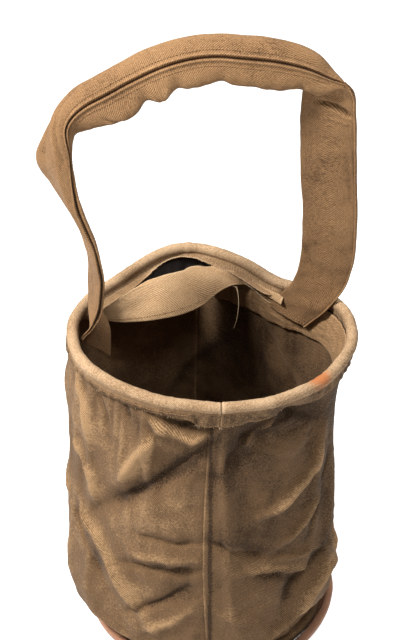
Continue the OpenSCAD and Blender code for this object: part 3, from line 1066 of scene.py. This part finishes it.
# the stretch of the facing that hangs loose
flap = {
    "span": (161, 43),      # angles of its left and right ends
    # its hem from left to right; z is below the rim
    "hem": (
        (-0.114, 0.052, -0.024), (-0.093, 0.060, -0.036), (-0.064, 0.066, -0.038),
        (-0.038, 0.072, -0.037), (-0.014, 0.080, -0.031), (0.012, 0.093, -0.018),
        (0.038, 0.099, -0.014), (0.055, 0.078, -0.012), (0.072, 0.061, -0.013),
    ),
    # soft creases: from and to (share of its length, share from top to hem), width, depth
    "creases": (
        ((0.60, 0.0), (0.70, 0.9), 0.018, -0.0030), ((0.30, 0.1), (0.42, 0.9), 0.030, 0.0022),
        ((0.12, 0.0), (0.20, 0.8), 0.022, -0.0018), ((0.46, 0.2), (0.54, 1.0), 0.022, -0.0018),
    ),
    "thick": 0.0015,
    "flat": (0.24, 0.034),
    "bend": (0.002, 0.022),  # two heights below the flap's top; bendFlap reads them, but no bend is made
    "stitchRow": 0.9,        # share from top to hem
    "stitches": 72,
}


def flapTop(u):
    a = mix(*flap["span"], u)
    middle, out = rimFrame(a)
    inset = mix(0.0085, 0.0145, smooth(78, 98, a)) + 0.0140 * hump(a, 108, 11)
    return middle - out * inset - up * (0.0085 + 0.0008 * wobble(u * 20, 0, 0))


def flapPoint(u, v):
    a = flapTop(u)
    b = alongCurve(flap["hem"], u) + up * sack["rimZ"]
    p = a.lerp(b, v)
    belly = math.sin(math.pi * v)
    lift = 0.0030 * belly + 0.0014 * wobble(u * 6, v * 2, 0, 1.4) * smooth(0, 0.2, v)
    for (u0, v0), (u1, v1), wide, depth in flap["creases"]:
        t = (v - v0) / (v1 - v0)
        lift += depth * hump(u, mix(u0, u1, t), wide) * smooth(-0.3, 0.2, t) * smooth(1.3, 0.8, t)
    p.z += lift
    p.y += 0.0014 * wobble(u * 9, v * 1.5, 3, 1.2) * v
    return p


def flapNormal(u, v):
    d = 0.02
    x = flapPoint(min(u + d, 1), v) - flapPoint(max(u - d, 0), v)
    y = flapPoint(u, max(v - d, 0)) - flapPoint(u, min(v + d, 1))
    return x.cross(y).normalized()


def bendFlap(obj):
    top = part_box("loose_facing")[1][2]
    start, end = ((0, 0.1, top - d) for d in flap["bend"])
    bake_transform(obj)
    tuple(start)
    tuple(end)


def makeFlap():
    def place(u, v):
        return flapPoint(u, 1 - v)

    obj = clothGrid("looseFacing", 170, 40, place, flap["flat"], looks["flap"])
    thicken(obj, flap["thick"])
    addWearAndShade(bake(obj), 0.8, 2, 0.5)
    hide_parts("loose_facing")
    bendFlap(obj)
    spots, v, count = [], flap["stitchRow"], flap["stitches"]
    for i in range(count):
        u = 0.04 + 0.92 * (i + 0.5) / count
        p, q = flapPoint(u - 0.004, v), flapPoint(u + 0.004, v)
        n = flapNormal(u, v)
        spots.append(((p + q) / 2 + n * 0.0009, q - p, n))
    bendFlap(stitches("flapStitches", spots, 0.0004, 0.0024, looks["thread"], "loose_facing_stitching"))


makeFacing()
makeLining()
makeFlap()


def threadStrand(bm, points, radius, steps=14):
    # a three-sided thread along a curve that thins towards its end
    made = bmesh.ops.create_grid(bm, x_segments=steps, y_segments=3, size=0.5)["verts"]
    for v in made:
        t, turn = v.co.x + 0.5, 2 * math.pi * (v.co.y + 0.5)
        before, after = alongCurve(points, max(t - 0.03, 0)), alongCurve(points, min(t + 0.03, 1))
        ahead = (after - before).normalized()
        side = ahead.orthogonal().normalized()
        reach = side * math.cos(turn) + ahead.cross(side) * math.sin(turn)
        v.co = alongCurve(points, t) + reach * radius * mix(1, 0.55, t)
    bmesh.ops.remove_doubles(bm, verts=made, dist=1e-6)


# broken ends of the flap's sewing thread; z is below the rim
threadEnds = (
    ((0.0250, 0.0930, -0.0150), (0.0270, 0.0880, -0.0130), (0.0285, 0.0800, -0.0250),
     (0.0270, 0.0760, -0.0420), (0.0235, 0.0760, -0.0560)),
    ((0.0350, 0.0980, -0.0130), (0.0440, 0.0860, -0.0120), (0.0560, 0.0760, -0.0180),
     (0.0620, 0.0720, -0.0200)),
    ((0.0280, 0.0940, -0.0150), (0.0230, 0.0900, -0.0110), (0.0250, 0.0870, -0.0090)),
)


def makeFlapEnds():
    bm = bmesh.new()
    for points in threadEnds:
        threadStrand(bm, [Vector(p) + up * sack["rimZ"] for p in points], 0.00045)
    bmesh.ops.recalc_face_normals(bm, faces=bm.faces)
    row = finishMesh("flapThreadEnds", bm, looks["paleThread"])
    bendFlap(threadPiece(row, "loose_facing_stitching"))


fray = {"count": 66, "tornSpread": 9, "spread": 75, "tornReach": 0.0034, "reach": 0.0018}


def makeHemFray():
    # every second strand is at the torn stretch, and the others are anywhere along the front
    bm = bmesh.new()
    for i in range(fray["count"]):
        torn = i % 2 == 0
        if torn:
            a = rim["tear"][0] + wobble(i * 0.71, 2, 0) * fray["tornSpread"]
        else:
            a = rim["tear"][0] + wobble(i * 0.53, 5, 0) * fray["spread"]
        m = sack["rimZ"] - hemDepth(a)
        start, n = onWall(a, m, 0.0036), wallNormal(a, m)
        d = (wallAt(a + 1, m) - wallAt(a - 1, m)).normalized()
        reach = fray["tornReach" if torn else "reach"] * (0.4 + abs(wobble(i * 0.37, 1, 0)) * 2)
        sway = wobble(i * 1.3, 8, 0) * reach * 2
        bent = start + n * 0.001 + d * sway * 0.5 - up * reach * 0.4
        threadStrand(bm, (start, bent, start + n * 0.0014 + d * sway - up * reach), 0.00022, 4)
    bmesh.ops.recalc_face_normals(bm, faces=bm.faces)
    threadPiece(finishMesh("hemFray", bm, looks["paleThread"]), "hem_stitching", "sack")


makeFlapEnds()
makeHemFray()
print("facing made")

# the strap is a flat tube of cloth with its seam along one edge
strap = {
    "around": 96,
    "rings": 480,
    "girth": 0.106,
    "thick": 0.0012,
    "bend": (-0.004, 0.060),    # two heights above the rim; bendStrap reads them, but no bend is made
    # stations from the left end over the grip to the right end:
    # place above the rim, the seam's direction, half size towards the seam, half size across it
    "stations": (
        ((-0.1163, -0.0015, -0.0230), (-0.574, -0.387, 0.72), 0.0224, 0.0020),
        ((-0.1150, 0.0005, -0.0120), (-0.59, -0.60, 0.54), 0.0215, 0.0020),
        ((-0.1146, 0.0020, -0.0020), (-0.50, -0.80, 0.34), 0.0212, 0.0024),
        ((-0.1158, 0.0038, 0.0085), (-0.24, -0.95, 0.14), 0.0214, 0.0032),
        ((-0.1185, 0.0045, 0.0220), (0.12, -0.99, 0.0), 0.0225, 0.0042),
        ((-0.116, 0.006, 0.038), (0.24, -0.97, 0.0), 0.0240, 0.0046),
        ((-0.114, 0.006, 0.070), (0.28, -0.96, 0.0), 0.0260, 0.0042),
        ((-0.1165, 0.006, 0.090), (0.30, -0.95, 0.0), 0.0260, 0.0044),
        ((-0.1215, 0.007, 0.112), (0.33, -0.94, 0.0), 0.0260, 0.0048),
        ((-0.131, 0.009, 0.135), (0.38, -0.92, 0.0), 0.0260, 0.0058),
        ((-0.138, 0.011, 0.152), (0.43, -0.90, 0.0), 0.0260, 0.0070),
        ((-0.1445, 0.013, 0.170), (0.55, -0.83, 0.0), 0.0260, 0.0085),
        ((-0.1480, 0.014, 0.186), (0.62, -0.78, 0.05), 0.0260, 0.0095),
        ((-0.1470, 0.015, 0.200), (0.58, -0.78, 0.15), 0.0240, 0.0105),
        ((-0.1440, 0.015, 0.213), (0.42, -0.80, 0.32), 0.0200, 0.0118),
        ((-0.1390, 0.015, 0.224), (0.28, -0.82, 0.45), 0.0150, 0.0138),
        ((-0.1300, 0.015, 0.235), (0.16, -0.82, 0.52), 0.0120, 0.0172),
        ((-0.1160, 0.015, 0.2455), (0.05, -0.81, 0.58), 0.0105, 0.0210),
        ((-0.0980, 0.015, 0.2555), (0.0, -0.80, 0.60), 0.0100, 0.0228),
        ((-0.0740, 0.015, 0.2700), (0.0, -0.80, 0.60), 0.0100, 0.0230),
        ((-0.0470, 0.015, 0.2838), (0.0, -0.80, 0.60), 0.0100, 0.0232),
        ((-0.0200, 0.015, 0.2925), (0.0, -0.80, 0.60), 0.0100, 0.0224),
        ((0.0040, 0.015, 0.2950), (0.0, -0.80, 0.60), 0.0100, 0.0226),
        ((0.0260, 0.015, 0.2935), (0.0, -0.82, 0.57), 0.0100, 0.0230),
        ((0.0520, 0.015, 0.2910), (0.0, -0.83, 0.55), 0.0100, 0.0226),
        ((0.0720, 0.015, 0.2870), (0.0, -0.83, 0.55), 0.0100, 0.0216),
        ((0.0880, 0.015, 0.2815), (0.12, -0.82, 0.55), 0.0102, 0.0186),
        ((0.1010, 0.015, 0.2735), (0.34, -0.76, 0.55), 0.0112, 0.0135),
        ((0.1085, 0.0145, 0.2680), (0.70, -0.60, 0.38), 0.0150, 0.0080),
        ((0.1055, 0.0160, 0.2610), (0.93, -0.36, 0.0), 0.0235, 0.0042),
        ((0.1055, 0.016, 0.2460), (0.94, -0.34, 0.0), 0.0250, 0.0034),
        ((0.1065, 0.019, 0.2200), (0.94, -0.34, 0.0), 0.0265, 0.0032),
        ((0.1095, 0.026, 0.1700), (0.94, -0.34, 0.0), 0.0270, 0.0030),
        ((0.1135, 0.033, 0.1200), (0.94, -0.34, 0.0), 0.0270, 0.0032),
        ((0.1150, 0.040, 0.0700), (0.94, -0.34, 0.0), 0.0268, 0.0032),
        ((0.1125, 0.0445, 0.0400), (0.94, -0.34, 0.0), 0.0262, 0.0034),
        ((0.1085, 0.0470, 0.0240), (0.92, -0.38, 0.0), 0.0262, 0.0034),
        ((0.1015, 0.0500, 0.0090), (0.89, -0.45, -0.04), 0.0256, 0.0028),
        ((0.0930, 0.0545, -0.0060), (0.86, -0.50, -0.10), 0.0250, 0.0022),
        ((0.0850, 0.0620, -0.0200), (0.84, -0.50, -0.18), 0.0240, 0.0020),
        ((0.0780, 0.0670, -0.0320), (0.83, -0.50, -0.25), 0.0225, 0.0020),
    ),
    # where the grip's lower half sags or is gathered: distance along the strap, spread, depth
    "puckers": (
        (0.318, 0.012, 0.0050), (0.342, 0.005, -0.0040), (0.358, 0.007, 0.0036),
        (0.376, 0.005, -0.0030), (0.395, 0.010, 0.0018), (0.422, 0.006, -0.0022),
        (0.470, 0.012, 0.0012), (0.500, 0.006, -0.0020), (0.520, 0.008, 0.0022),
    ),
    # creases: from and to (distance along, share of the girth from the seam), width, depth
    "creases": (
        ((0.120, 0.80), (0.300, 0.66), 0.030, -0.0026), ((0.150, 0.88), (0.260, 0.84), 0.020, 0.0016),
        ((0.190, 0.60), (0.290, 0.72), 0.030, 0.0018), ((0.225, 0.92), (0.285, 0.80), 0.020, -0.0018),
        ((0.546, 0.26), (0.558, 0.10), 0.030, -0.0050), ((0.560, 0.34), (0.567, 0.14), 0.020, 0.0014),
        ((0.600, 0.14), (0.660, 0.10), 0.020, -0.0008), ((0.730, 0.40), (0.790, 0.12), 0.030, -0.0010),
        ((0.300, 0.16), (0.330, 0.40), 0.020, -0.0018), ((0.350, 0.12), (0.362, 0.36), 0.016, -0.0012),
    ),
}


def measureStrap():
    # the distance along the strap at each station, by short steps on its curve
    places = [s[0] for s in strap["stations"]]
    n = 1600  # short enough that their chords measure the curve
    points = [alongCurve(places, i / n) for i in range(n + 1)]
    total = [0.0]
    for a, b in zip(points, points[1:]):
        total.append(total[-1] + (b - a).length)
    return total


strapTotal = measureStrap()
strapLength = strapTotal[-1]


def strapT(distance):
    # the curve's own share at a distance along it
    lo, hi = 0, len(strapTotal) - 1
    while hi - lo > 1:
        mid = (lo + hi) // 2
        lo, hi = (mid, hi) if strapTotal[mid] <= distance else (lo, mid)
    part = (distance - strapTotal[lo]) / max(strapTotal[hi] - strapTotal[lo], 1e-9)
    return (lo + min(max(part, 0), 1)) / (len(strapTotal) - 1)


def strapFrame(distance):
    # middle, direction, the way to the seam, the way across, and the two half sizes
    t = strapT(distance)
    d = 0.006
    stations = strap["stations"]
    places = [s[0] for s in stations]
    middle = alongCurve(places, t)
    ahead = (alongCurve(places, min(t + d, 1)) - alongCurve(places, max(t - d, 0))).normalized()
    seam = alongCurve([s[1] for s in stations], t).normalized()
    a, b = (max(0.001, alongCurve([s[k] for s in stations], t)) for k in (2, 3))
    return middle + up * sack["rimZ"], ahead, seam, ahead.cross(seam).normalized(), a, b


def strapPoint(distance, v, frameAt=None):
    # v runs round the tube from the seam back to the seam
    middle, _, seam, side, a, b = frameAt or strapFrame(distance)
    turn = 2 * math.pi * v
    c, s = math.cos(turn), math.sin(turn)
    square = smooth(2.0, 4.0, a / b)
    power = mix(0.95, 0.7, square)
    x = math.copysign(abs(c) ** power, c) * a
    y = math.copysign(abs(s) ** power, s) * b
    away = min(v, 1 - v) * strap["girth"]
    # two turned edges stand up on both sides of the seam's groove
    ridge = 0.0024 * hump(away, 0.0018, 0.0008) - 0.0014 * hump(away, 0, 0.0006)
    x += ridge * mix(1.0, 0.6, square)
    y += math.copysign(0.0016 * hump(away, 0.0026, 0.0012) * square, s)
    low = smooth(0.2, 0.95, s) * (1 - square)
    for at, spread, depth in strap["puckers"]:
        if abs(distance - at) < 3 * spread:
            y += depth * hump(distance, at, spread) * low
    n = 0.0011 * wobble(distance * 24, c * 0.8, s * 0.8, kind=4)
    n += 0.0006 * wobble(distance * 70, c * 1.5, s * 1.5, kind=5)
    n += 0.0010 * low * wobble(distance * 110, c, 0, kind=6)
    for (d0, v0), (d1, v1), wide, depth in strap["creases"]:
        t = (distance - d0) / (d1 - d0)
        if -0.15 < t < 1.15:
            n += depth * hump(v, mix(v0, v1, t), wide) * smooth(-0.15, 0.1, t) * smooth(1.15, 0.9, t)
    out = Vector((x / a / a, y / b / b)).normalized()
    return middle + seam * (x + out.x * n) + side * (y + out.y * n)


def makeStrap():
    around, rings = strap["around"], strap["rings"]
    frames = [strapFrame(strapLength * i / rings) for i in range(rings + 1)]

    def place(u, v):
        return strapPoint(u * strapLength, v, frames[round(u * rings)])

    def nearSeam(t):
        # more points near the seam, where the edges are fine
        return t - 0.8 * math.sin(2 * math.pi * t) / (2 * math.pi)

    flat = (strapLength, strap["girth"])
    obj = clothGrid("strapTube", rings, around, place, flat, looks["strap"], True, nearSeam)
    thicken(obj, strap["thick"], -1.0)
    addWearAndShade(bake(obj), 0.9, 1, 0.45)
    legs = ("strap_leg_left", "strap_grip", "strap_leg_right")
    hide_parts("strap_end_left", *legs, "strap_end_right")
    bendStrap(obj)


def bendStrap(obj):
    start, end = ((0, 0, sack["rimZ"] + d) for d in strap["bend"])
    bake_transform(obj)
    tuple(start)
    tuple(end)


def strapEndStitches(name, distances, side, node):
    # two short rows across a sewn end, on the side that shows
    spots = []
    for distance in distances:
        middle, _, seam, across, a, b = strapFrame(distance)
        for i in range(14):
            x = mix(-0.85, 0.85, i / 13)
            p = middle + seam * a * x + across * side * b * abs(1 - x * x) ** 0.35
            spots.append((p + across * side * 0.0010, seam, across * side))
    stitches(name, spots, 0.0004, 0.0026, looks["thread"], node, "sack")


def strapSeamStitches():
    # a row on each side of the seam's groove
    spots = []
    count = int(strapLength / 0.0032)
    for i in range(count):
        distance = 0.05 + (strapLength - 0.09) * (i + 0.5) / count
        for v in (0.045, 0.955):
            p, q = strapPoint(distance, v), strapPoint(distance + 0.002, v)
            out = (p - strapFrame(distance)[0]).normalized()
            spots.append((p + out * 0.0011, q - p, out))
    row = stitches("strapSeamStitches", spots, 0.00035, 0.0022, looks["thread"], "strap_edge_stitching")
    bendStrap(row)


makeStrap()
strapEndStitches("strapEndStitchesLeft", (0.006, 0.012), -1, "strap_end_stitching_left")
farEnds = (strapLength - 0.005, strapLength - 0.010)
strapEndStitches("strapEndStitchesRight", farEnds, 1, "strap_end_stitching_right")
strapSeamStitches()
print("strap made")

seamStitch = {"foot": 0.012, "top": 0.334, "count": 96, "out": 0.0028, "radius": 0.00026, "length": 0.0020}


def seamRow(name, a, node):
    # the stitches that run up the wall beside a lap's edge
    spots = []
    for i in range(seamStitch["count"]):
        m = mix(seamStitch["foot"], seamStitch["top"], (i + 0.5) / seamStitch["count"])
        p, q = (onWall(a, m + d, seamStitch["out"]) for d in (-0.001, 0.001))
        spots.append(((p + q) / 2, q - p, wallNormal(a, m)))
    radius, length = seamStitch["radius"], seamStitch["length"]
    stitches(name, spots, radius, length, looks["bodyThread"], node, "sack")


seamRow("frontSeamStitches", sack["frontSeam"] - lap["width"] * 0.8, "front_seam_stitching")
seamRow("backSeamStitches", sack["frontSeam"] + 180 + lap["width"] * 0.8, "back_seam_stitching")
print("stitching made")
